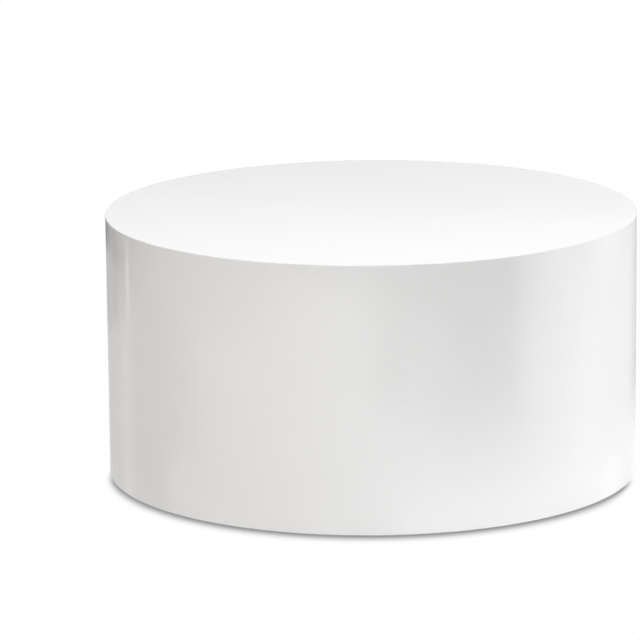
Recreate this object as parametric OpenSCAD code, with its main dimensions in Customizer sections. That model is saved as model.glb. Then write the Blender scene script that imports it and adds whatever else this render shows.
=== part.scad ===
// Round drum coffee table, hollow, with a lacquered top and wall on a ribbed former.
// Sizes are in millimetres. The origin is on the floor under the drum's centre, and +Z is up.
// Rib 1 stands at the back (+Y), behind the butt joint of the kerfed liner.

/* [Overall] */
// Diameter over the lacquered wall
table_dia = 600; // [480:10:800]
// Height from the floor to the top face
table_h = 300; // [240:5:420]
// Gap between the floor and the lower rim of the wall
floor_gap = 1.5; // [1:0.5:3]

/* [Top panel] */
// Thickness of the top panel
top_t = 18; // [16:1:25]
// Thickness of the lip that laps over the wall
lip_t = 6; // [4:0.5:8]
// Radius of the rounded edge round the top face
arris_r = 1; // [0.5:0.25:3]
// Gap round the plug that locates the panel inside the wall
plug_gap = 0.2; // [0.1:0.05:0.4]

/* [Wall] */
// Thickness of the outer skin
skin_t = 3; // [2:0.5:4]
// Thickness of the kerfed board inside the skin
liner_t = 9; // [7:0.5:12]
// Number of saw kerfs round the liner
kerf_count = 120; // [72:12:168]
// Width of a kerf at its root
kerf_w = 3; // [2:0.25:3.5]
// Board left between a kerf and the outer skin
kerf_web = 2; // [1.5:0.25:3]
// Width of the liner's butt joint
seam_w = 0.4; // [0.2:0.1:1]
// Radius of the eased lower rim
rim_r = 1; // [0.5:0.25:1.5]
// Thickness of the glue between two bent layers
glue_line = 0.1; // [0.1:0.05:0.3]

/* [Rings] */
// Thickness of the upper ring and the base ring
ring_t = 18; // [16:1:25]
// Width of the rings, from the wall inwards
ring_w = 80; // [76:2:110]
// Diameter of the router cutter, which sets the relief in the joint corners
cutter_d = 6; // [4:1:8]

/* [Ribs] */
// Number of ribs, an even number
rib_count = 12; // [8:2:16]
// Thickness of a rib
rib_t = 18; // [15:1:22]
// Depth of a rib at the rings, from the wall inwards
rib_d = 70; // [60:2:74]
// Depth of the curved relief in a rib's inner edge
rib_relief = 25; // [10:1:30]
// Gap in the halved joints between a rib and a ring
joint_gap = 0.15; // [0.1:0.05:0.3]

/* [Screws] */
// Diameter of the screws that hold the ribs
rib_screw_d = 5; // [4:0.5:6]
// Diameter of their heads
rib_screw_head_d = 9.5; // [8:0.5:11]
// Length of a rib screw inside the rib
rib_screw_bite = 32; // [24:1:40]
// Diameter of the screws that hold the top panel
top_screw_d = 4; // [3.5:0.5:5]
// Diameter of their heads
top_screw_head_d = 8; // [7:0.5:9]
// Length of a top panel screw inside the panel
top_screw_bite = 12; // [8:1:13]
// Distance of the top panel screws from the wall
top_screw_inset = 40; // [25:1:55]
// Diameter of the screws that hold the glides
glide_screw_d = 3.5; // [3:0.25:4]
// Diameter of their heads
glide_screw_head_d = 7; // [6:0.25:7.5]
// Length of a glide screw inside the base ring
glide_screw_bite = 13; // [8:1:14]
// Gap between a screw and its hole, on the diameter
hole_gap = 0.1; // [0.05:0.05:0.3]

/* [Glides] */
// Diameter of a glide cup
cup_dia = 28; // [24:1:36]
// Height of a glide cup
cup_h = 4; // [3.5:0.5:6]
// Thickness of the cup's web, which the screw holds
cup_web = 2.25; // [2.25:0.25:3]
// Thickness of the cup's side
cup_side = 1.5; // [1:0.25:2.5]
// Height that the felt stands out of its cup
felt_proud = 2; // [1.5:0.5:4]
// Gap round the felt in its cup
felt_gap = 0.3; // [0.1:0.1:0.5]
// Diameter of the felt's hole, which the screw head is reached through
felt_hole_d = 9; // [8:0.5:12]
// Distance of a glide's centre from the wall
glide_inset = 36; // [25:1:50]

/* [Hidden] */
$fn = 192;
edge_fn = 24;
screw_fn = 32;
glide_fn = 64;
table_r = table_dia / 2;
// The wall, from outside in
skin_in_r = table_r - skin_t;
liner_out_r = skin_in_r - glue_line;
liner_in_r = liner_out_r - liner_t;
frame_r = liner_in_r - glue_line;
kerf_depth = liner_t - kerf_web;
// A kerf closes a little at its mouth as the board bends into a circle
kerf_mouth = kerf_w - 2 * PI * kerf_depth / kerf_count;
// Levels, from the floor up
base_z = felt_proud + cup_h;
web_z = base_z - cup_web;
base_top_z = base_z + ring_t;
upper_top_z = table_h - top_t;
upper_z = upper_top_z - ring_t;
wall_top_z = table_h - lip_t;
mid_z = (base_top_z + upper_z) / 2;
// The halved joint between rib and ring: each keeps half of the rib's depth
notch_r = frame_r - rib_d / 2;
leg_r = notch_r + joint_gap;
rib_in_r = frame_r - rib_d;
rib_edge_r = sqrt(frame_r * frame_r - rib_t * rib_t / 4);
rib_screw_r = (rib_in_r + notch_r) / 2;
// The relief leaves the rib at its full depth beyond the screws' points
heel_cover = 4;
relief_half = (upper_z - base_top_z) / 2 - rib_screw_bite - heel_cover;
relief_r = (relief_half * relief_half + rib_relief * rib_relief) / (2 * rib_relief);
// Angles round the drum, in degrees
back = 90;
bay = 360 / rib_count;
glide_count = rib_count / 2;
top_screw_count = rib_count / 2;
glide_r = frame_r - glide_inset;
pocket_dia = cup_dia - 2 * cup_side;
pocket_h = cup_h - cup_web;
top_screw_r = frame_r - top_screw_inset;
// Overlap that carries a cut clear of a face
over = 1;

function rib_angle(i) = back + (i - 1) * bay;
function glide_angle(i) = back + (2 * i - 1.5) * bay;
function top_screw_angle(i) = back + (2 * i - 0.5) * bay;

// Puts its children at a radius and an angle round the drum, at a height
module place(angle, radius = 0, z = 0) {
    rotate(angle) translate([radius, 0, z]) children();
}

// A countersunk wood screw, point up, with its flat head face at z = 0
module screw(d, length, head_d) {
    head_h = (head_d - d) / 2;
    tip_h = d * 1.2;
    cylinder(d1 = head_d, d2 = d, h = head_h, $fn = screw_fn);
    cylinder(d = d, h = length - tip_h, $fn = screw_fn);
    translate([0, 0, length - tip_h]) cylinder(d1 = d, d2 = d / 4, h = tip_h, $fn = screw_fn);
}

// The hole that a screw fills: its countersink, then its pilot
module screw_hole(d, length, head_d) {
    head_h = (head_d - d) / 2;
    hole_d = d + hole_gap;
    translate([0, 0, -over]) cylinder(d = head_d + hole_gap, h = over, $fn = screw_fn);
    cylinder(d1 = head_d + hole_gap, d2 = hole_d, h = head_h, $fn = screw_fn);
    cylinder(d = hole_d, h = length + hole_gap, $fn = screw_fn);
}

// Screws, or their holes, where each set goes
module at_lower_rib_screw(i) {
    place(rib_angle(i), rib_screw_r, base_z) children();
}

module at_upper_rib_screw(i) {
    place(rib_angle(i), rib_screw_r, upper_top_z) mirror([0, 0, 1]) children();
}

module at_top_screw(i) {
    place(top_screw_angle(i), top_screw_r, upper_z) children();
}

module at_glide(i, z = 0) {
    place(glide_angle(i), glide_r, z) children();
}

module rib_screw_hole() {
    screw_hole(rib_screw_d, ring_t + rib_screw_bite, rib_screw_head_d);
}

module top_screw_hole() {
    screw_hole(top_screw_d, ring_t + top_screw_bite, top_screw_head_d);
}

module glide_screw_hole() {
    screw_hole(glide_screw_d, cup_web + glide_screw_bite, glide_screw_head_d);
}

// Disc with a rounded outer edge on top: half of its section, for turning
module rounded_section(radius, low, high, edge_r) {
    translate([0, low]) square([radius, high - low - edge_r]);
    translate([0, low]) square([radius - edge_r, high - low]);
    translate([radius - edge_r, high - edge_r]) circle(r = edge_r, $fn = edge_fn);
}

module top_panel() {
    color("white") difference() {
        union() {
            rotate_extrude() rounded_section(table_r, wall_top_z, table_h, arris_r);
            translate([0, 0, upper_top_z]) cylinder(r = liner_in_r - plug_gap, h = top_t - lip_t);
        }
        for (i = [1:top_screw_count]) at_top_screw(i) top_screw_hole();
    }
}

// Wrapped skin with an eased lower rim, sprayed together with the top
module outer_skin() {
    color("white") rotate_extrude() difference() {
        mirror([0, 1]) rounded_section(table_r, -wall_top_z, -floor_gap, rim_r);
        translate([0, floor_gap - over]) square([skin_in_r, wall_top_z - floor_gap + 2 * over]);
    }
}

// One kerf, seen from above at angle 0: narrower at its mouth than at its root
module kerf() {
    root_r = liner_in_r + kerf_depth;
    polygon([
        [liner_in_r - over, -kerf_mouth / 2],
        [liner_in_r, -kerf_mouth / 2],
        [root_r, -kerf_w / 2],
        [root_r, kerf_w / 2],
        [liner_in_r, kerf_mouth / 2],
        [liner_in_r - over, kerf_mouth / 2]
    ]);
}

// Kerfed board, bent round the ribs with its kerfs inwards
module kerfed_liner() {
    color("burlywood") translate([0, 0, floor_gap]) linear_extrude(wall_top_z - floor_gap)
        difference() {
            circle(r = liner_out_r);
            circle(r = liner_in_r);
            for (k = [1:kerf_count]) rotate(back + (k - 0.5) * 360 / kerf_count) kerf();
            rotate(back) translate([liner_in_r - over, -seam_w / 2])
                square([liner_t + 2 * over, seam_w]);
        }
}

// Round relief that a router leaves in an inside corner, so that a square edge seats fully.
// The corner is at the origin, and sx and sy point from it into the open side.
module corner_relief(sx, sy) {
    reach = cutter_d / 2 * sqrt(0.5);
    translate([sx * reach, sy * reach]) circle(d = cutter_d, $fn = screw_fn);
}

// Notch for one rib, open to the ring's outer edge
module rib_notch() {
    half_w = rib_t / 2 + joint_gap;
    translate([notch_r, -half_w]) square([frame_r - notch_r + over, 2 * half_w]);
    for (side = [-1, 1]) translate([notch_r, side * half_w]) corner_relief(1, -side);
}

module ring_blank() {
    linear_extrude(ring_t) difference() {
        circle(r = frame_r);
        circle(r = frame_r - ring_w);
        for (i = [1:rib_count]) rotate(rib_angle(i)) rib_notch();
    }
}

module upper_ring() {
    color("tan") difference() {
        translate([0, 0, upper_z]) ring_blank();
        for (i = [1:rib_count]) at_upper_rib_screw(i) rib_screw_hole();
        for (i = [1:top_screw_count]) at_top_screw(i) top_screw_hole();
    }
}

module base_ring() {
    color("tan") difference() {
        translate([0, 0, base_z]) ring_blank();
        for (i = [1:rib_count]) at_lower_rib_screw(i) rib_screw_hole();
        for (i = [1:glide_count]) at_glide(i, web_z) glide_screw_hole();
    }
}

// Outline of a rib: shoulders bear on the rings, and the legs outside them fill the notches
module rib_outline() {
    difference() {
        polygon([
            [rib_edge_r, base_z],
            [leg_r, base_z],
            [leg_r, base_top_z],
            [rib_in_r, base_top_z],
            [rib_in_r, upper_z],
            [leg_r, upper_z],
            [leg_r, upper_top_z],
            [rib_edge_r, upper_top_z]
        ]);
        translate([rib_in_r + rib_relief - relief_r, mid_z]) circle(r = relief_r);
        translate([leg_r, base_top_z]) corner_relief(-1, -1);
        translate([leg_r, upper_z]) corner_relief(-1, 1);
    }
}

module rib(i) {
    color("tan") difference() {
        rotate([90, 0, rib_angle(i)]) linear_extrude(rib_t, center = true) rib_outline();
        at_lower_rib_screw(i) rib_screw_hole();
        at_upper_rib_screw(i) rib_screw_hole();
    }
}

// Moulded cup that a screw holds to the base ring
module glide_cup(i) {
    color("dimgray") at_glide(i) difference() {
        translate([0, 0, felt_proud]) cylinder(d = cup_dia, h = cup_h, $fn = glide_fn);
        translate([0, 0, web_z - pocket_h - over])
            cylinder(d = pocket_dia, h = pocket_h + over, $fn = glide_fn);
        translate([0, 0, web_z]) glide_screw_hole();
    }
}

// Felt disc glued into the cup, which the drum stands on
module felt_pad(i) {
    color("darkslategray") at_glide(i) difference() {
        cylinder(d = pocket_dia - 2 * felt_gap, h = web_z, $fn = glide_fn);
        translate([0, 0, -over]) cylinder(d = felt_hole_d, h = web_z + 2 * over, $fn = glide_fn);
    }
}

module lower_rib_screws() {
    color("silver") for (i = [1:rib_count])
        at_lower_rib_screw(i) screw(rib_screw_d, ring_t + rib_screw_bite, rib_screw_head_d);
}

module upper_rib_screws() {
    color("silver") for (i = [1:rib_count])
        at_upper_rib_screw(i) screw(rib_screw_d, ring_t + rib_screw_bite, rib_screw_head_d);
}

module top_panel_screws() {
    color("silver") for (i = [1:top_screw_count])
        at_top_screw(i) screw(top_screw_d, ring_t + top_screw_bite, top_screw_head_d);
}

module glide_screws() {
    color("silver") for (i = [1:glide_count])
        at_glide(i, web_z) screw(glide_screw_d, cup_web + glide_screw_bite, glide_screw_head_d);
}

top_panel();
outer_skin();
kerfed_liner();
upper_ring();
base_ring();
for (i = [1:rib_count]) rib(i);
for (i = [1:glide_count]) glide_cup(i);
for (i = [1:glide_count]) felt_pad(i);
lower_rib_screws();
upper_rib_screws();
top_panel_screws();
glide_screws();
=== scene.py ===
"""Round drum coffee table in white gloss lacquer, on a white studio floor."""
import math

import bmesh
import bpy
from mathutils import Matrix, Vector, noise


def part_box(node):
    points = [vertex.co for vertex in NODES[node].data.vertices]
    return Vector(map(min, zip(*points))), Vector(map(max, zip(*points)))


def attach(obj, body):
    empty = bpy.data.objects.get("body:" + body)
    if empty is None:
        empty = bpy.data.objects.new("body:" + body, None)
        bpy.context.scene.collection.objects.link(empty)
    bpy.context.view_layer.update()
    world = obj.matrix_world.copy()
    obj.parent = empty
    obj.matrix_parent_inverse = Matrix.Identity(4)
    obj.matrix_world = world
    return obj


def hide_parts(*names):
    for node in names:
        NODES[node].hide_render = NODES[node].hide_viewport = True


MM = 0.001

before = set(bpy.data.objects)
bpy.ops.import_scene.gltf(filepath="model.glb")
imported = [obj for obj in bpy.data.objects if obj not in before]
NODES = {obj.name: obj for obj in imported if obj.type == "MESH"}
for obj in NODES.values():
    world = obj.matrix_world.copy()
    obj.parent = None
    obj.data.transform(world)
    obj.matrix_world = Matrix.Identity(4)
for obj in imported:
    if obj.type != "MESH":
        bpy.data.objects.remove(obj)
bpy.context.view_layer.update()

# Camera, fitted to the outlines of the top and of the wall's lower rim
CAMERA_BACK = 5.0585
CAMERA_UP = 1.3226
CAMERA_PITCH_DEG = 12.806
CAMERA_YAW_DEG = 0.665
CAMERA_ROLL_DEG = 0.556
LENS_MM = 256.8
SENSOR_MM = 36.0
CLIP_END = 100

# Meshes: vertices nearer than WELD are one, those within SAME_LEVEL are at one height, and faces that meet at
# more than SHARP_DEG keep a crisp edge
WELD = 1e-6
SAME_LEVEL = 1e-5
SHARP_DEG = 30

# Lacquered shell
ARRIS_R = 1.0 * MM
ARRIS_STEPS = 10
RIM_R = 1.0 * MM
RIM_STEPS = 6
SHELL_SEGMENTS = 720
# Narrow strips beside each rounded edge keep the wide faces flat when shaded
EDGE_STRIP = 0.5 * MM
PILOT_D = 4.1 * MM
PILOT_SPARE = 0.1 * MM

# Screws
RIB_SCREW_D = 5 * MM
TOP_SCREW_D = 4 * MM
GLIDE_SCREW_D = 3.5 * MM
SCREW_SEGMENTS = 24
# Plain part, as a share of the screw's length, and rounded rim, as shares of the head's height
SHANK_SHARE = 0.35
HEAD_LIP = 0.05
HEAD_LIP_H = 0.075
# Thread, neck and point, as shares of the shank's diameter
THREAD_PITCH = 0.44
THREAD_CORE = 0.34
NECK_SHARE = 0.40
NECK_END = 0.125
POINT_SHARE = 1.6
# The thread's ridge starts, peaks and ends at these shares of the pitch, and stops some turns above the point
RIDGE = (0.3, 0.5, 0.7)
THREAD_STOP = 1.2
# Cross recess, as shares of the head's diameter, and its floor's share of its mouth
RECESS_REACH = 0.28
RECESS_HALF_ARM = 0.085
RECESS_DEPTH = 0.24
RECESS_TAPER = 0.45

# Glides
CUP_SEGMENTS = 96
CUP_EDGE_R = 0.5 * MM
CUP_EDGE_STEPS = 5
CUP_HOLE_D = 3.6 * MM
CUP_SINK_D = 7.1 * MM
CUP_SINK_H = 1.75 * MM
FELT_GAP = 0.3 * MM
FELT_SEGMENTS = 120
FELT_STEP = 0.7 * MM
FELT_EDGE_R = 0.6 * MM
FELT_EDGE_STEPS = 3
# Fuzz on the felt's side: depth, cycles a millimetre of its lumps, hairs and ripple, and the ripple's share
FELT_FUZZ = 0.16 * MM
FELT_LUMPS = 1.7
FELT_HAIRS = 5.1
FELT_RIPPLE = 3.3
FELT_RIPPLE_SHARE = 0.3

# Noise values that a pattern's two ends lie at
SOFT_SPAN = (0.3, 0.7)
CRISP_SPAN = (0.35, 0.65)

# White lacquer
LACQUER_IOR = 1.5
LACQUER_LIGHT = (0.802, 0.802, 0.800, 1)
LACQUER_DEEP = (0.794, 0.794, 0.791, 1)
LACQUER_GLOSS = 0.08
LACQUER_HAZE = 0.03
LACQUER_PEEL = 0.004 * MM

# Raw fibreboard
BOARD_PALE = (0.47, 0.335, 0.20, 1)
BOARD_WARM = (0.52, 0.38, 0.235, 1)
BOARD_DUST = (0.60, 0.45, 0.29, 1)
BOARD_FLECK = (0.27, 0.17, 0.085, 1)
EDGE_PALE = (0.40, 0.27, 0.15, 1)
EDGE_FIBRE = (0.22, 0.135, 0.07, 1)
EDGE_CLOUD = (0.30, 0.19, 0.10, 1)
DUST_SHARE = 0.25
FLECK_SHARE = 0.35
CLOUD_SHARE = 0.3
EDGE_ROUGH = 0.95
FACE_ROUGH = 0.72
BOARD_RELIEF = 0.12 * MM
# How squarely a point looks the faces' way: an edge below, a face above
FACE_SPAN = (0.75, 0.9)
FLECK_SPAN = (0.60, 0.72)
FLECK_STRETCHES = ((1, 5, 5), (5, 1, 5), (5, 5, 1))

# Zinc plate
ZINC_BLUE = (0.50, 0.52, 0.56, 1)
ZINC_GREY = (0.64, 0.63, 0.60, 1)
ZINC_ROUGH = (0.24, 0.36)
ZINC_RELIEF = 0.01 * MM

# Black plastic
PLASTIC_DEEP = (0.022, 0.022, 0.024, 1)
PLASTIC_LIGHT = (0.034, 0.034, 0.036, 1)
PLASTIC_ROUGH = (0.42, 0.55)
PLASTIC_RELIEF = 0.03 * MM

# Grey felt
FELT_DARK = (0.085, 0.085, 0.09, 1)
FELT_LIGHT = (0.23, 0.23, 0.235, 1)
FELT_SHEEN = 0.5
FELT_SHEEN_ROUGH = 0.6
FELT_RELIEF = 0.25 * MM

# Floor and its painted contact shadow: how far out it reaches in front and at the sides, how the reach grows
# from the sides to the front, the openness that it fades between, its curve, and its darkest shade
FLOOR_HALF = 8.0
FLOOR_SHADE = (0.82, 0.82, 0.82, 1)
SHADOW_FRONT = 0.036
SHADOW_SIDE = 0.003
SHADOW_BEND = 0.7
SHADOW_RAMP = (0.42, 1.0)
SHADOW_CURVE = 1.3
SHADOW_SHADE = (0.32, 0.323, 0.32, 1)
SHADOW_SAMPLES = 16
# On the right the reach shrinks to a share, between two shares of the way across
SHADOW_RIGHT_ENDS = (0.8, 1.0)
SHADOW_RIGHT_REACH = 0.5
# Where the shadow turns in at the table's ends: how far forward it starts, how far forward it is full, and
# what is left before the start, each at the left end and at the right end
SHADOW_TURN = ((0.05, 0.16), (0.25, 0.38), (0.4, 0.0))

# Glowing grey ring over the floor, seen only in the gloss: a painted darker reflection
APRON_R = 3.0
APRON_LIFT = 0.5 * MM
APRON_SHADE = 0.75
APRON_SIDES = 192

# Glowing screen behind the table that paints the top's reflection: where it stands, its lowest and highest
# point, the soft rise of its glow from both, and the glow, which grows to the right
BACKDROP_Y = 1.0
BACKDROP_HALF = 1.2
BACKDROP_LOW = 0.514
BACKDROP_HIGH = 0.72
BACKDROP_FADE = 0.083
BACKDROP_SIDE_FADE = 0.8
BACKDROP_GLOW = 0.155
BACKDROP_TILT = 0.32
BACKDROP_STEPS = 48

# Glowing screen in front of and beside the table that paints the wall's reflections: how far out it lies, how
# high it then stands, and its azimuths
SCREEN_REACH = 1.0
SCREEN_H = 0.20
SCREEN_LIFT = 1 * MM
SCREEN_STEPS = 24
SCREEN_COLUMNS = 344
SCREEN_SPAN = 86
# Its patches of painted reflection: azimuths on the wall from the camera towards the right, their soft edge,
# heights on the wall, their soft edge, and shade
SURROUND = {
    "front_glow": (-44, 62, 24, -0.10, 0.60, 0.01, 1.65),
    "left_near": (-95, -61.5, 1.5, -0.10, 0.60, 0.01, 0.85),
    "left_side": (-61, -41, 8, -0.10, 0.60, 0.01, 0.88),
    "left_far": (-95, -20, 30, 0.225, 0.60, 0.13, 0.54),
    "left_edge": (-95, -76, 4, 0.165, 0.60, 0.08, 0.57),
    "left_band": (-74.5, -70.5, 3, 0.195, 0.25, 0.03, 0.5),
    "left_foot": (-95, -76, 6, -0.10, 0.15, 0.04, 0.74),
    "left_corner": (-74, -60, 4, 0.277, 0.60, 0.05, 0.0),
    "left_limb": (-95, -75, 4, 0.287, 0.60, 0.04, 0.2),
    "front_dark": (1, 33, 10, 0.125, 0.60, 0.06, 0.35),
    "dark_core": (13, 31, 10, 0.10, 0.60, 0.06, 0.0),
    "right_glow": (34, 50, 12, 0.19, 0.60, 0.08, 1.8),
    "right_top": (38, 54, 6, 0.265, 0.60, 0.03, 2.4),
    "foot_right": (4, 54, 14, -0.10, 0.045, 0.05, 2.5),
    "foot_left": (-48, -14, 4, -0.10, 0.06, 0.03, 1.6),
    "right_back": (57, 95, 18, -0.10, 0.60, 0.01, 0.70),
    "right_high": (46, 63, 10, 0.262, 0.60, 0.08, 1.5),
    "right_edge": (74, 95, 5, 0.10, 0.60, 0.06, 0.58),
    "right_foot": (54, 95, 10, -0.20, 0.06, 0.10, 1.1),
    "right_low": (42, 66, 8, -0.20, 0.035, 0.06, 1.9),
    "far_band": (-72, 28, 8, 0.286, 0.60, 0.04, 0.3),
    "streak": (-64.8, -63.2, 0.6, 0.17, 0.30, 0.05, 1.35),
    "streak_low": (-68.5, -62, 5, -0.10, 0.19, 0.06, 1.12),
}

# World and softboxes
WHITE = (1, 1, 1, 1)
WARM_FILL = (1.0, 0.87, 0.74, 1)
WORLD_FILL = 0.138
# Softboxes: azimuth from the camera towards the right, elevation, distance, height of the point on the axis
# that they face, width, height, watts, colour
LAMPS = {
    "key_front_left": (-30, 60, 2.0, 0.18, 0.8, 0.8, 29.6, (0.975, 0.985, 1.0)),
    "key_right": (109, 30, 2.0, 0.18, 0.8, 0.8, 19.9, (0.95, 0.97, 1.0)),
    "close_right": (75, 6, 0.75, 0.16, 0.3, 0.5, 0.54, (0.95, 0.97, 1.0)),
    "fill_left": (-60, 8, 2.0, 0.18, 0.8, 0.8, 3.25, (1.0, 0.925, 0.86)),
    "back": (180, 5, 2.0, 0.18, 0.8, 0.8, 14.9, (0.91, 0.955, 1.0)),
    "strip_front": (20, 0, 0.9, 0.05, 0.3, 0.08, 1.0, (0.95, 0.975, 1.0)),
    "strip_right": (60, 0, 0.9, 0.05, 0.3, 0.08, 0.44, (1, 1, 1)),
}


# Sizes read from the frame

def radii_at(node, z):
    """Least and greatest radius of a CAD node's vertices at a height."""
    found = []
    for vert in NODES[node].data.vertices:
        if abs(vert.co.z - z) < SAME_LEVEL:
            found.append(math.hypot(vert.co.x, vert.co.y))
    return min(found), max(found)


TOP_LOW, TOP_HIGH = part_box("top_panel")
SKIN_LOW, SKIN_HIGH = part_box("outer_skin")
TOP_Z = TOP_HIGH.z
PLUG_Z = TOP_LOW.z
SEAM_Z = SKIN_HIGH.z
RIM_Z = SKIN_LOW.z
SKIN_IN_R, TABLE_R = radii_at("outer_skin", SEAM_Z)
PLUG_R = radii_at("top_panel", PLUG_Z)[1]
GLIDES = sum(name.startswith("glide_cup_") for name in NODES)


def solids_of(node):
    """Lowest and highest corner of each separate solid in a CAD node, in order round the drum."""
    shape = bmesh.new()
    shape.from_mesh(NODES[node].data)
    bmesh.ops.remove_doubles(shape, verts=shape.verts, dist=WELD)
    waiting = set(shape.verts)
    boxes = []
    while waiting:
        front = [waiting.pop()]
        low, high = front[0].co.copy(), front[0].co.copy()
        while front:
            vert = front.pop()
            low = Vector(map(min, low, vert.co))
            high = Vector(map(max, high, vert.co))
            for edge in vert.link_edges:
                other = edge.other_vert(vert)
                if other in waiting:
                    waiting.remove(other)
                    front.append(other)
        boxes.append((low, high))
    shape.free()
    return sorted(boxes, key=lambda box: math.atan2(box[0].y + box[1].y, box[0].x + box[1].x))


# Mesh tools

def make_object(name, build, material):
    """Object from a bmesh that build fills, smooth but for its crisp edges."""
    mesh = bpy.data.meshes.new(name)
    shape = bmesh.new()
    build(shape)
    bmesh.ops.recalc_face_normals(shape, faces=shape.faces)
    shape.to_mesh(mesh)
    shape.free()
    mesh.shade_smooth()
    mesh.set_sharp_from_angle(angle=math.radians(SHARP_DEG))
    mesh.materials.append(material)
    obj = bpy.data.objects.new(name, mesh)
    bpy.context.scene.collection.objects.link(obj)
    return obj


def make_piece(name, build, material, nodes):
    """Piece of the table that stands for CAD nodes."""
    piece = make_object(name, build, material)
    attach(piece, "root")
    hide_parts(*nodes)
    return piece


def ring(shape, radius, z, segments, centre=(0, 0)):
    """Level ring of vertices round a centre."""
    verts = []
    for k in range(segments):
        a = 2 * math.pi * k / segments
        spot = (centre[0] + radius * math.cos(a), centre[1] + radius * math.sin(a), z)
        verts.append(shape.verts.new(spot))
    return verts


def skin_rings(shape, rings, closed=False):
    """Faces between neighbouring rings of vertices. A ring of one vertex is a point."""
    pairs = list(zip(rings, rings[1:]))
    if closed:
        pairs.append((rings[-1], rings[0]))
    for a, b in pairs:
        count = max(len(a), len(b))
        for k in range(count):
            n = (k + 1) % count
            corners = [a[k % len(a)], a[n % len(a)], b[n % len(b)], b[k % len(b)]]
            shape.faces.new(list(dict.fromkeys(corners)))


def skin_rows(shape, rows):
    """Faces between neighbouring rows of vertices."""
    for a, b in zip(rows, rows[1:]):
        for k in range(len(a) - 1):
            shape.faces.new([a[k], b[k], b[k + 1], a[k + 1]])


def revolve(shape, profile, segments, centre=(0, 0), closed=False):
    """Turns (radius, height) points round an upright axis. A point on the axis is one vertex."""
    rings = []
    for radius, z in profile:
        if radius < WELD:
            rings.append([shape.verts.new((centre[0], centre[1], z))])
        else:
            rings.append(ring(shape, radius, z, segments, centre))
    skin_rings(shape, rings, closed)
    return rings


def arc(centre_r, centre_z, radius, start_deg, end_deg, steps):
    """Points (radius, height) along an arc of a profile, ends included."""
    angles = [math.radians(start_deg + (end_deg - start_deg) * k / steps) for k in range(steps + 1)]
    return [(centre_r + radius * math.cos(a), centre_z + radius * math.sin(a)) for a in angles]


def loop_edges(verts):
    """Edges of a closed loop of vertices that are already joined by faces."""
    edges = []
    for a, b in zip(verts, verts[1:] + verts[:1]):
        edges.append(next(e for e in a.link_edges if e.other_vert(a) is b))
    return edges


def fill_between(shape, loops):
    """Flat face between an outer loop and the loops inside it."""
    edges = [e for loop in loops for e in loop_edges(loop)]
    bmesh.ops.triangle_fill(shape, use_beauty=True, use_dissolve=False, edges=edges)


# Material tools

def feed(tree, node, inputs):
    """Sets inputs of a node. Each is a value or the socket that feeds it."""
    for key, value in inputs.items():
        if isinstance(value, bpy.types.NodeSocket):
            tree.links.new(value, node.inputs[key])
        else:
            node.inputs[key].default_value = value


def add(tree, kind, inputs=None, **properties):
    """Node with its properties and inputs set."""
    node = tree.nodes.new(kind)
    for key, value in properties.items():
        setattr(node, key, value)
    feed(tree, node, inputs or {})
    return node


def bare_material(name):
    """Material with an empty node tree, and the tree."""
    material = bpy.data.materials.new(name)
    material.use_nodes = True
    material.node_tree.nodes.clear()
    return material, material.node_tree


def shaded_material(name):
    """Material with a Principled shader, its tree and the shader."""
    material, tree = bare_material(name)
    shader = add(tree, "ShaderNodeBsdfPrincipled")
    add(tree, "ShaderNodeOutputMaterial", {"Surface": shader.outputs["BSDF"]})
    return material, tree, shader


def math_node(tree, operation, a, b=0.0):
    """Result socket of one operation on values."""
    return add(tree, "ShaderNodeMath", {0: a, 1: b}, operation=operation).outputs[0]


def vector_node(tree, operation, a, b=(0.0, 0.0, 0.0)):
    """Result socket of one operation on vectors."""
    node = add(tree, "ShaderNodeVectorMath", {0: a, 1: b}, operation=operation)
    return node.outputs["Value" if operation == "DOT_PRODUCT" else "Vector"]


def remap(tree, value, low, high, to_low=0.0, to_high=1.0):
    """Smooth step of a value from one span to another."""
    spans = {"Value": value, "From Min": low, "From Max": high, "To Min": to_low, "To Max": to_high}
    return add(tree, "ShaderNodeMapRange", spans, interpolation_type="SMOOTHSTEP").outputs["Result"]


def mix_colour(tree, share, a, b):
    """Colour between a and b, which the mix node takes as its inputs 6 and 7 and gives as its output 2."""
    return add(tree, "ShaderNodeMix", {0: share, 6: a, 7: b}, data_type="RGBA").outputs[2]


def mix_value(tree, share, a, b):
    """Value between a and b, which the mix node takes as its inputs 2 and 3."""
    return add(tree, "ShaderNodeMix", {0: share, 2: a, 3: b}, data_type="FLOAT").outputs[0]


def grain(tree, scale, detail, roughness=0.6, stretch=(1, 1, 1)):
    """Noise over the table's own coordinates. scale is in cycles a metre."""
    place = add(tree, "ShaderNodeTexCoord").outputs["Object"]
    mapping = add(tree, "ShaderNodeMapping", {"Vector": place, "Scale": stretch})
    look = {"Vector": mapping.outputs[0], "Scale": scale, "Detail": detail, "Roughness": roughness}
    return add(tree, "ShaderNodeTexNoise", look).outputs["Fac"]


def bump(tree, shader, height, distance, strength=1.0):
    """Bump from a height socket. distance is the height of a full step, in metres."""
    node = add(tree, "ShaderNodeBump", {"Height": height, "Distance": distance, "Strength": strength})
    feed(tree, shader, {"Normal": node.outputs["Normal"]})


def outward(tree):
    """Level direction away from the table's axis."""
    place = add(tree, "ShaderNodeTexCoord").outputs["Object"]
    level = vector_node(tree, "MULTIPLY", place, (1.0, 1.0, 0.0))
    return vector_node(tree, "NORMALIZE", level)


# Materials

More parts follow.
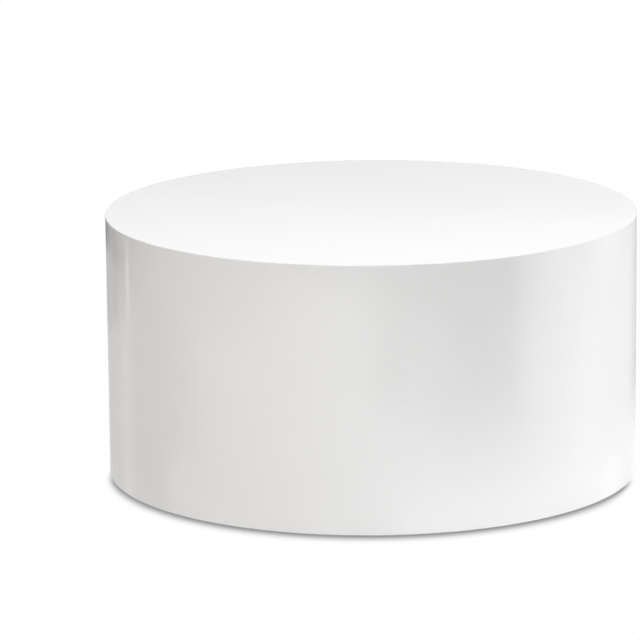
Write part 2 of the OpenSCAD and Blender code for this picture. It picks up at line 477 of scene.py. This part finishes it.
def white_lacquer():
    """Sprayed and polished white gloss lacquer with a trace of orange peel."""
    material, tree, shader = shaded_material("white_lacquer")
    tint = remap(tree, grain(tree, scale=9.0, detail=2.0), *SOFT_SPAN)
    haze = grain(tree, scale=14.0, detail=3.0)
    feed(tree, shader, {
        "IOR": LACQUER_IOR,
        "Base Color": mix_colour(tree, tint, LACQUER_LIGHT, LACQUER_DEEP),
        "Roughness": remap(tree, haze, *SOFT_SPAN, LACQUER_GLOSS, LACQUER_GLOSS + LACQUER_HAZE),
    })
    bump(tree, shader, grain(tree, scale=260.0, detail=1.0), LACQUER_PEEL)
    return material


def squareness(tree, faces):
    """How squarely a point of a board looks the way of the board's faces, from 0 to 1."""
    up = (0.0, 0.0, 1.0)
    normal = add(tree, "ShaderNodeNewGeometry").outputs["True Normal"]
    axis = up
    if faces != "up":
        axis = outward(tree)
    if faces == "round":
        axis = vector_node(tree, "CROSS_PRODUCT", axis, up)
    return math_node(tree, "ABSOLUTE", vector_node(tree, "DOT_PRODUCT", normal, axis))


def flecks_of(tree):
    """Fine dashes that lie along the three axes."""
    flecks = 0.0
    for stretch in FLECK_STRETCHES:
        dashes = grain(tree, scale=420.0, detail=2.0, stretch=stretch)
        flecks = math_node(tree, "MAXIMUM", flecks, remap(tree, dashes, *FLECK_SPAN))
    return flecks


def fibreboard(name, faces):
    """Raw fibreboard: tan faces with fine flecks, and darker fibrous sawn edges.

    faces says which way the board's faces look: "up" for a level board, "round" for one that stands on a
    radius, and "out" for one that is bent round the drum.
    """
    material, tree, shader = shaded_material(name)
    on_face = remap(tree, squareness(tree, faces), *FACE_SPAN)
    clouds = remap(tree, grain(tree, scale=18.0, detail=3.0), *SOFT_SPAN)
    dust = remap(tree, grain(tree, scale=2400.0, detail=2.0), *CRISP_SPAN)
    fibres = remap(tree, grain(tree, scale=700.0, detail=5.0, roughness=0.75), *CRISP_SPAN)
    flecks = flecks_of(tree)
    face = mix_colour(tree, clouds, BOARD_PALE, BOARD_WARM)
    face = mix_colour(tree, math_node(tree, "MULTIPLY", dust, DUST_SHARE), face, BOARD_DUST)
    face = mix_colour(tree, math_node(tree, "MULTIPLY", flecks, FLECK_SHARE), face, BOARD_FLECK)
    edge = mix_colour(tree, fibres, EDGE_PALE, EDGE_FIBRE)
    edge = mix_colour(tree, math_node(tree, "MULTIPLY", clouds, CLOUD_SHARE), edge, EDGE_CLOUD)
    feed(tree, shader, {
        "Base Color": mix_colour(tree, on_face, edge, face),
        "Roughness": remap(tree, on_face, 0.0, 1.0, EDGE_ROUGH, FACE_ROUGH),
    })
    bump(tree, shader, mix_value(tree, on_face, fibres, flecks), BOARD_RELIEF, strength=0.6)
    return material


def zinc():
    """Bright zinc plate with faint cloudy passivation."""
    material, tree, shader = shaded_material("zinc_plate")
    clouds = remap(tree, grain(tree, scale=420.0, detail=3.0), *SOFT_SPAN)
    feed(tree, shader, {
        "Metallic": 1.0,
        "Base Color": mix_colour(tree, clouds, ZINC_BLUE, ZINC_GREY),
        "Roughness": remap(tree, clouds, 0.0, 1.0, *ZINC_ROUGH),
    })
    bump(tree, shader, grain(tree, scale=2600.0, detail=2.0), ZINC_RELIEF, strength=0.5)
    return material


def moulded_plastic():
    """Black moulded plastic with a fine spark-eroded texture."""
    material, tree, shader = shaded_material("moulded_plastic")
    speckle = remap(tree, grain(tree, scale=3200.0, detail=2.0), *CRISP_SPAN)
    feed(tree, shader, {
        "Base Color": mix_colour(tree, speckle, PLASTIC_DEEP, PLASTIC_LIGHT),
        "Roughness": remap(tree, speckle, 0.0, 1.0, *PLASTIC_ROUGH),
    })
    bump(tree, shader, speckle, PLASTIC_RELIEF, strength=0.5)
    return material


def pressed_felt():
    """Grey pressed felt of mixed light and dark fibres."""
    material, tree, shader = shaded_material("pressed_felt")
    tufts = grain(tree, scale=1900.0, detail=5.0, roughness=0.8, stretch=(1, 2.5, 1))
    fibres = remap(tree, tufts, *CRISP_SPAN)
    feed(tree, shader, {
        "Base Color": mix_colour(tree, fibres, FELT_DARK, FELT_LIGHT),
        "Roughness": 1.0,
        "Sheen Weight": FELT_SHEEN,
        "Sheen Roughness": FELT_SHEEN_ROUGH,
    })
    bump(tree, shader, fibres, FELT_RELIEF, strength=0.8)
    return material


# Lacquered shell

def lacquered_top(material):
    """Top panel: flat face, rounded arris, lip over the wall, and plug with its pilot holes."""
    def build(shape):
        profile = [(0, TOP_Z), (TABLE_R / 2, TOP_Z), (TABLE_R - ARRIS_R - EDGE_STRIP, TOP_Z)]
        profile += arc(TABLE_R - ARRIS_R, TOP_Z - ARRIS_R, ARRIS_R, 90, 0, ARRIS_STEPS)
        profile += [(TABLE_R, TOP_Z - ARRIS_R - EDGE_STRIP), (TABLE_R, SEAM_Z)]
        profile += [(PLUG_R, SEAM_Z), (PLUG_R, PLUG_Z)]
        mouths = [revolve(shape, profile, SHELL_SEGMENTS)[-1]]
        for low, high in solids_of("top_panel_screws"):
            middle = (low + high) / 2
            radius = PILOT_D / 2
            wall = [(radius, PLUG_Z), (radius, high.z + PILOT_SPARE), (0, high.z + PILOT_SPARE)]
            mouths.append(revolve(shape, wall, SCREW_SEGMENTS, (middle.x, middle.y))[0])
        fill_between(shape, mouths)
    return make_piece("lacquered_top", build, material, ["top_panel"])


def lacquered_wall(material):
    """Outer skin: closed ring with an eased lower rim."""
    def build(shape):
        profile = [(TABLE_R, SEAM_Z), (TABLE_R, RIM_Z + RIM_R + EDGE_STRIP)]
        profile += arc(TABLE_R - RIM_R, RIM_Z + RIM_R, RIM_R, 0, -90, RIM_STEPS)
        profile += [(SKIN_IN_R, RIM_Z), (SKIN_IN_R, SEAM_Z)]
        revolve(shape, profile, SHELL_SEGMENTS, closed=True)
    return make_piece("lacquered_wall", build, material, ["outer_skin"])


def leave_raw(piece, board, is_hidden):
    """Gives a lacquered piece's faces inside the drum the raw board that was never sprayed."""
    mesh = piece.data
    mesh.materials.append(board)
    for face in mesh.polygons:
        if is_hidden(face.center):
            face.material_index = 1


# Screws

def recess_outline(reach, half_arm):
    """Corners of a cross-shaped driver recess, anticlockwise."""
    quarter = [(reach, -half_arm), (reach, half_arm), (half_arm, half_arm)]
    points = []
    for turn in range(4):
        c = round(math.cos(turn * math.pi / 2))
        s = round(math.sin(turn * math.pi / 2))
        points += [(x * c - y * s, x * s + y * c) for x, y in quarter]
    return points


def add_thread(shape, centre, level, neck_ring, start, length, shank_d, way):
    """Right-handed thread from a neck down to its point, as one spiral strip with a closed surface."""
    core = shank_d * THREAD_CORE
    crest = shank_d / 2
    pitch = shank_d * THREAD_PITCH
    point_h = shank_d * POINT_SHARE
    turn = SCREW_SEGMENTS
    last = int(turn * ((length - start) / pitch - THREAD_STOP))
    rise, peak, fall = RIDGE

    def vertex(n, share, radius):
        z = start + pitch * (n / turn + share)
        radius *= min(1.0, (length - z) / point_h)
        a = way * 2 * math.pi * n / turn
        return shape.verts.new((centre[0] + radius * math.cos(a), centre[1] + radius * math.sin(a), level(z)))

    roots = [vertex(n, 0.0, core) for n in range(last + turn + 1)]
    columns = []
    for n in range(last + 1):
        ridge = core + (crest - core) * min(1.0, n / turn)
        columns.append([roots[n], vertex(n, rise, core), vertex(n, peak, ridge), vertex(n, fall, core),
                        roots[n + turn]])
    for left, right in zip(columns, columns[1:]):
        for k in range(len(left) - 1):
            shape.faces.new([left[k], right[k], right[k + 1], left[k + 1]])
    above = [neck_ring[way * n % turn] for n in range(turn)]
    for n in range(turn - 1):
        shape.faces.new([above[n], above[n + 1], roots[n + 1], roots[n]])
    shape.faces.new([above[-1], above[0]] + columns[0] + [roots[turn - 1]])
    point = shape.verts.new((centre[0], centre[1], level(length)))
    for n in range(last, last + turn):
        shape.faces.new([roots[n], roots[n + 1], point])
    shape.faces.new(columns[-1] + [point])


def add_screw(shape, centre, head_z, point_z, shank_d, head_d):
    """Countersunk wood screw with a cross recess, a plain neck and a helical thread."""
    way = 1 if point_z > head_z else -1
    length = abs(point_z - head_z)
    head_h = (head_d - shank_d) / 2
    neck = shank_d * NECK_SHARE
    start = head_h + SHANK_SHARE * length

    def level(z):
        return head_z + way * z

    turned = [(head_d / 2 - HEAD_LIP * head_h, 0),
              (head_d / 2 - HEAD_LIP_H * head_h, HEAD_LIP_H * head_h),
              (neck, head_h + shank_d / 2 - neck),
              (neck, start - NECK_END * shank_d)]
    rings = [ring(shape, radius, level(z), SCREW_SEGMENTS, centre) for radius, z in turned]
    skin_rings(shape, rings)
    add_thread(shape, centre, level, rings[-1], start, length, shank_d, way)

    def recess_loop(share, z):
        outline = recess_outline(share * RECESS_REACH * head_d, share * RECESS_HALF_ARM * head_d)
        return [shape.verts.new((centre[0] + x, centre[1] + y, level(z))) for x, y in outline]

    mouth = recess_loop(1, 0)
    pit = recess_loop(RECESS_TAPER, RECESS_DEPTH * head_d)
    skin_rings(shape, [mouth, pit])
    shape.faces.new(pit)
    fill_between(shape, [rings[0], mouth])


def screws(name, node, shank_d, head_up, material):
    """All the screws of one CAD node, each where its solid is."""
    def build(shape):
        for low, high in solids_of(node):
            middle = (low + high) / 2
            ends = (high.z, low.z) if head_up else (low.z, high.z)
            add_screw(shape, (middle.x, middle.y), *ends, shank_d, high.x - low.x)
    return make_piece(name, build, material, [node])


# Glides

def glide_cup(i, material):
    """Moulded cup: rounded rim, pocket for the felt, and countersunk hole."""
    node = f"glide_cup_{i}"
    low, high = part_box(node)
    felt_low, felt_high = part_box(f"felt_pad_{i}")
    outer = (high.x - low.x) / 2
    pocket = (felt_high.x - felt_low.x) / 2 + FELT_GAP
    web = felt_high.z
    centre = ((low.x + high.x) / 2, (low.y + high.y) / 2)

    def build(shape):
        profile = arc(outer - CUP_EDGE_R, low.z + CUP_EDGE_R, CUP_EDGE_R, -90, 0, CUP_EDGE_STEPS)
        profile += [(outer, high.z - CUP_EDGE_R), (outer - CUP_EDGE_R / 2, high.z), (CUP_HOLE_D / 2, high.z),
                    (CUP_HOLE_D / 2, web + CUP_SINK_H), (CUP_SINK_D / 2, web), (pocket, web),
                    (pocket, low.z + CUP_EDGE_R / 2), (pocket + CUP_EDGE_R / 2, low.z)]
        revolve(shape, profile, CUP_SEGMENTS, centre, closed=True)
    return make_piece(f"glide_{i}_cup", build, material, [node])


def evenly(a, b):
    """Points from a up to b, a felt step apart, without b."""
    count = max(1, round(math.dist(a, b) / FELT_STEP))
    return [(a[0] + (b[0] - a[0]) * k / count, a[1] + (b[1] - a[1]) * k / count) for k in range(count)]


def felt_profile(inner, outer, low_z, high_z):
    """Felt's section, with soft lower edges."""
    r = FELT_EDGE_R
    profile = evenly((inner + r, low_z), (outer - r, low_z))
    profile += arc(outer - r, low_z + r, r, -90, 0, FELT_EDGE_STEPS)[:-1]
    profile += evenly((outer, low_z + r), (outer, high_z))
    profile += evenly((outer, high_z), (inner, high_z))
    profile += evenly((inner, high_z), (inner, low_z + r))
    profile += arc(inner + r, low_z + r, r, 180, 270, FELT_EDGE_STEPS)[:-1]
    return profile


def felt_ring(i, material):
    """Felt ring with soft edges and a fuzzy side. Its underside is pressed flat by the floor."""
    node = f"felt_pad_{i}"
    low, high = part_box(node)
    outer = (high.x - low.x) / 2
    centre = ((low.x + high.x) / 2, (low.y + high.y) / 2)
    inner = min(math.hypot(v.co.x - centre[0], v.co.y - centre[1]) for v in NODES[node].data.vertices)
    middle = (inner + outer) / 2
    half = (outer - inner) / 2

    def build(shape):
        revolve(shape, felt_profile(inner, outer, low.z, high.z), FELT_SEGMENTS, centre, closed=True)
        for vert in shape.verts:
            spot = vert.co / MM
            away = Vector((vert.co.x - centre[0], vert.co.y - centre[1], 0))
            lumps = 0.5 + 0.5 * noise.noise(spot * FELT_LUMPS)
            hairs = max(0, noise.noise(spot * FELT_HAIRS))
            inwards = -1 if away.length > middle else 1
            share = abs(away.length - middle) / half
            vert.co += away.normalized() * inwards * FELT_FUZZ * (lumps + hairs) * share
            if low.z + WELD < vert.co.z < high.z - WELD:
                vert.co.z += FELT_RIPPLE_SHARE * FELT_FUZZ * noise.noise(spot * FELT_RIPPLE)
    return make_piece(f"glide_{i}_felt", build, material, [node])


def dress(names, material):
    """Gives CAD nodes that stay as they are their material."""
    for name in names:
        mesh = NODES[name].data
        mesh.materials.clear()
        mesh.materials.append(material)


# Studio

def look_camera():
    """Camera at the photograph's angle, with its slight yaw and roll."""
    yaw = math.radians(CAMERA_YAW_DEG)
    pitch = math.radians(CAMERA_PITCH_DEG)
    roll = math.radians(CAMERA_ROLL_DEG)
    right = Vector((math.cos(yaw), math.sin(yaw), 0))
    ahead = Vector((-math.sin(yaw), math.cos(yaw), 0))
    up = Vector((0, 0, 1))
    forward = math.cos(pitch) * ahead - math.sin(pitch) * up
    top = math.sin(pitch) * ahead + math.cos(pitch) * up
    right_rolled = math.cos(roll) * right - math.sin(roll) * top
    top_rolled = math.sin(roll) * right + math.cos(roll) * top
    data = bpy.data.cameras.new("camera")
    data.lens = LENS_MM
    data.sensor_width = SENSOR_MM
    data.clip_end = CLIP_END
    camera = bpy.data.objects.new("camera", data)
    bpy.context.scene.collection.objects.link(camera)
    turn = Matrix((right_rolled, top_rolled, -forward)).transposed()
    camera.matrix_world = Matrix.Translation((0, -CAMERA_BACK, CAMERA_UP)) @ turn.to_4x4()
    bpy.context.scene.camera = camera


def lit_or_shown(tree, lit, shown):
    """Surface that camera, glossy and transmission rays see as shown, and all other rays as lit."""
    path = add(tree, "ShaderNodeLightPath").outputs
    seen = math_node(tree, "MAXIMUM", path["Is Camera Ray"], path["Is Glossy Ray"])
    seen = math_node(tree, "MAXIMUM", seen, path["Is Transmission Ray"])
    return add(tree, "ShaderNodeMixShader", {0: seen, 1: lit.outputs[0], 2: shown.outputs[0]}).outputs[0]


def painted_contact_shadow(tree):
    """Depth of the painted contact shadow, from 0 to 1. It is painted narrower and thinner on the right side.
    """
    out = outward(tree)
    forward = math_node(tree, "ABSOLUTE", vector_node(tree, "DOT_PRODUCT", out, (0.0, -1.0, 0.0)))
    across = vector_node(tree, "DOT_PRODUCT", out, (1.0, 0.0, 0.0))
    reach = math_node(tree, "MULTIPLY", math_node(tree, "POWER", forward, SHADOW_BEND), SHADOW_FRONT)
    narrowed = remap(tree, across, *SHADOW_RIGHT_ENDS, 1.0, SHADOW_RIGHT_REACH)
    reach = math_node(tree, "MAXIMUM", math_node(tree, "MULTIPLY", reach, narrowed), SHADOW_SIDE)
    openness = add(tree, "ShaderNodeAmbientOcclusion", {"Distance": reach}, samples=SHADOW_SAMPLES)
    closeness = remap(tree, openness.outputs["AO"], *SHADOW_RAMP, 1.0, 0.0)
    shadow = math_node(tree, "POWER", closeness, SHADOW_CURVE)
    start, end, least = (remap(tree, across, -1.0, 1.0, *ends) for ends in SHADOW_TURN)
    return math_node(tree, "MULTIPLY", shadow, remap(tree, forward, start, end, least, 1.0))


def studio_floor():
    """White floor with a painted contact shadow round the table."""
    material, tree = bare_material("studio_floor")
    # Painted shadow: what camera and gloss see of the floor fades from white to SHADOW_SHADE near the table
    shown = mix_colour(tree, painted_contact_shadow(tree), WHITE, SHADOW_SHADE)
    lit = add(tree, "ShaderNodeBsdfDiffuse", {"Color": FLOOR_SHADE})
    white = add(tree, "ShaderNodeEmission", {"Color": shown, "Strength": 1.0})
    add(tree, "ShaderNodeOutputMaterial", {"Surface": lit_or_shown(tree, lit, white)})

    def build(shape):
        corners = [(-1, -1), (1, -1), (1, 1), (-1, 1)]
        shape.faces.new([shape.verts.new((x * FLOOR_HALF, y * FLOOR_HALF, 0)) for x, y in corners])
    make_object("studio_floor", build, material)


def soft(value, low, high, edge):
    """1 between low and high, fading to 0 over an edge on both sides."""
    inside = min(1.0, max(0.0, min(value - low, high - value) / edge + 0.5))
    return inside * inside * (3 - 2 * inside)


def painted_reflection_shade(azimuth, height):
    """Shade of the painted reflection that the wall shows at an azimuth and height."""
    light = 1.0
    for low, high, edge, foot, head, fade, value in SURROUND.values():
        share = soft(azimuth, low, high, edge) * soft(height, foot, head, fade)
        light += (value - light) * share
    return light


def backdrop_shade(x, z):
    """Glow of the screen that paints the top's reflection, at a place across it and a height."""
    share = soft(x, -BACKDROP_HALF, BACKDROP_HALF, BACKDROP_SIDE_FADE)
    share *= soft(z, BACKDROP_LOW, BACKDROP_HIGH, BACKDROP_FADE)
    return 1 + share * (BACKDROP_GLOW + BACKDROP_TILT * x)


def gloss_screen(name, fill_shape):
    """Glowing screen seen only in the gloss: painted reflections. fill_shape adds its mesh and its vertices'
    shades.
    """
    material, tree = bare_material(name)
    shade = add(tree, "ShaderNodeAttribute", attribute_name="shade").outputs["Fac"]
    glow = add(tree, "ShaderNodeEmission", {"Color": shade, "Strength": 1.0})
    add(tree, "ShaderNodeOutputMaterial", {"Surface": glow.outputs[0]})

    def build(shape):
        fill_shape(shape, shape.verts.layers.float.new("shade"))
    screen = make_object(name, build, material)
    # Only glossy rays see it, so it glows as a painted reflection and lights nothing
    screen.visible_camera = False
    screen.visible_diffuse = False
    screen.visible_transmission = False
    screen.visible_shadow = False


def painted_reflection_surround():
    """Glowing screen before and beside the table, for painted reflections: white, with darker and brighter
    patches.

    It lies and then stands where sight lines from the camera go once the wall has mirrored them, so its
    patches are placed by the azimuth and height of the wall that shows them.
    """
    slope = math.tan(math.radians(CAMERA_PITCH_DEG))
    eye = Vector((0, -CAMERA_BACK, 0))
    far = slope * SCREEN_REACH
    stations = []
    for k in range(SCREEN_STEPS + 1):
        reach = SCREEN_REACH * k / SCREEN_STEPS
        stations.append((reach, SCREEN_LIFT, slope * reach))
    for k in range(1, SCREEN_STEPS + 1):
        rise = SCREEN_H * k / SCREEN_STEPS
        stations.append((SCREEN_REACH, SCREEN_LIFT + rise, far + rise))

    def fill_shape(shape, tone):
        columns = []
        for k in range(SCREEN_COLUMNS + 1):
            azimuth = -SCREEN_SPAN + 2 * SCREEN_SPAN * k / SCREEN_COLUMNS
            a = math.radians(azimuth)
            out = Vector((math.sin(a), -math.cos(a), 0))
            spot = out * TABLE_R
            look = (spot - eye).normalized()
            away = look - 2 * look.dot(out) * out
            column = []
            for reach, z, height in stations:
                vert = shape.verts.new(spot + away * (SCREEN_LIFT + reach) + Vector((0, 0, z)))
                # Each vertex glows with the shade of the painted reflection at its spot on the wall
                vert[tone] = painted_reflection_shade(azimuth, height)
                column.append(vert)
            columns.append(column)
        skin_rows(shape, columns)
    gloss_screen("painted_reflection_surround", fill_shape)


def painted_reflection_apron():
    """Glowing grey ring on the floor, a painted reflection shown beyond the surround. It gives the other
    sides an edge.
    """
    def fill_shape(shape, tone):
        revolve(shape, [(TABLE_R, APRON_LIFT), (APRON_R, APRON_LIFT)], APRON_SIDES)
        for vert in shape.verts:
            # Painted darker reflection: the ring glows at APRON_SHADE
            vert[tone] = APRON_SHADE
    gloss_screen("painted_reflection_apron", fill_shape)


def painted_reflection_backdrop():
    """Glowing screen behind the table, the top's painted reflection: white, and brighter higher up and to the
    right.
    """
    side = BACKDROP_HALF + BACKDROP_SIDE_FADE / 2
    foot = BACKDROP_LOW - BACKDROP_FADE / 2
    height = BACKDROP_HIGH - BACKDROP_LOW + BACKDROP_FADE

    def fill_shape(shape, tone):
        rows = []
        for i in range(BACKDROP_STEPS + 1):
            z = foot + height * i / BACKDROP_STEPS
            row = []
            for k in range(BACKDROP_STEPS + 1):
                x = side * (2 * k / BACKDROP_STEPS - 1)
                vert = shape.verts.new((x, BACKDROP_Y, z))
                # Each vertex glows with the shade of the top's painted reflection
                vert[tone] = backdrop_shade(x, z)
                row.append(vert)
            rows.append(row)
        skin_rows(shape, rows)
    gloss_screen("painted_reflection_backdrop", fill_shape)


def studio_world():
    """White surroundings for what the camera and reflections see, and a soft fill for the rest."""
    world = bpy.data.worlds.new("studio")
    bpy.context.scene.world = world
    world.use_nodes = True
    tree = world.node_tree
    tree.nodes.clear()
    fill = add(tree, "ShaderNodeBackground", {"Color": WARM_FILL, "Strength": WORLD_FILL})
    white = add(tree, "ShaderNodeBackground", {"Color": WHITE, "Strength": 1.0})
    add(tree, "ShaderNodeOutputWorld", {"Surface": lit_or_shown(tree, fill, white)})


def softbox(name, azimuth, elevation, distance, aim_z, width, height, watts, colour):
    """Area lamp that faces a point on the table's axis. Camera and glossy rays don't see it."""
    a = math.radians(azimuth)
    e = math.radians(elevation)
    away = Vector((math.sin(a) * math.cos(e), -math.cos(a) * math.cos(e), math.sin(e)))
    data = bpy.data.lights.new(name, "AREA")
    data.shape = "RECTANGLE"
    data.size = width
    data.size_y = height
    data.energy = watts
    data.color = colour
    lamp = bpy.data.objects.new(name, data)
    bpy.context.scene.collection.objects.link(lamp)
    lamp.location = Vector((0, 0, aim_z)) + away * distance
    lamp.rotation_mode = "QUATERNION"
    lamp.rotation_quaternion = away.to_track_quat("Z", "Y")
    lamp.visible_camera = False
    lamp.visible_glossy = False


def studio():
    """Camera, floor with its painted contact shadow, glowing screens that paint the gloss's reflections,
    world and softboxes.
    """
    look_camera()
    bpy.context.scene.view_settings.view_transform = "Standard"
    studio_floor()
    painted_reflection_surround()
    painted_reflection_apron()
    painted_reflection_backdrop()
    studio_world()
    for name, values in LAMPS.items():
        softbox(name, *values)


def table():
    """The table's pieces, and the materials of the CAD nodes that stay."""
    lacquer = white_lacquer()
    level_board = fibreboard("level_board", "up")
    bent_board = fibreboard("bent_board", "out")
    leave_raw(lacquered_top(lacquer), level_board, lambda spot: spot.z < SEAM_Z + WELD)
    leave_raw(lacquered_wall(lacquer), bent_board, lambda spot: math.hypot(spot.x, spot.y) < SKIN_IN_R + WELD)
    plate = zinc()
    screws("base_ring_screws", "lower_rib_screws", RIB_SCREW_D, False, plate)
    screws("upper_ring_screws", "upper_rib_screws", RIB_SCREW_D, True, plate)
    screws("top_fixing_screws", "top_panel_screws", TOP_SCREW_D, False, plate)
    screws("glide_fixing_screws", "glide_screws", GLIDE_SCREW_D, False, plate)
    plastic = moulded_plastic()
    felt = pressed_felt()
    for i in range(1, GLIDES + 1):
        glide_cup(i, plastic)
        felt_ring(i, felt)
    dress(["upper_ring", "base_ring"], level_board)
    dress([name for name in NODES if name.startswith("rib_")], fibreboard("upright_board", "round"))
    dress(["kerfed_liner"], bent_board)


studio()
table()
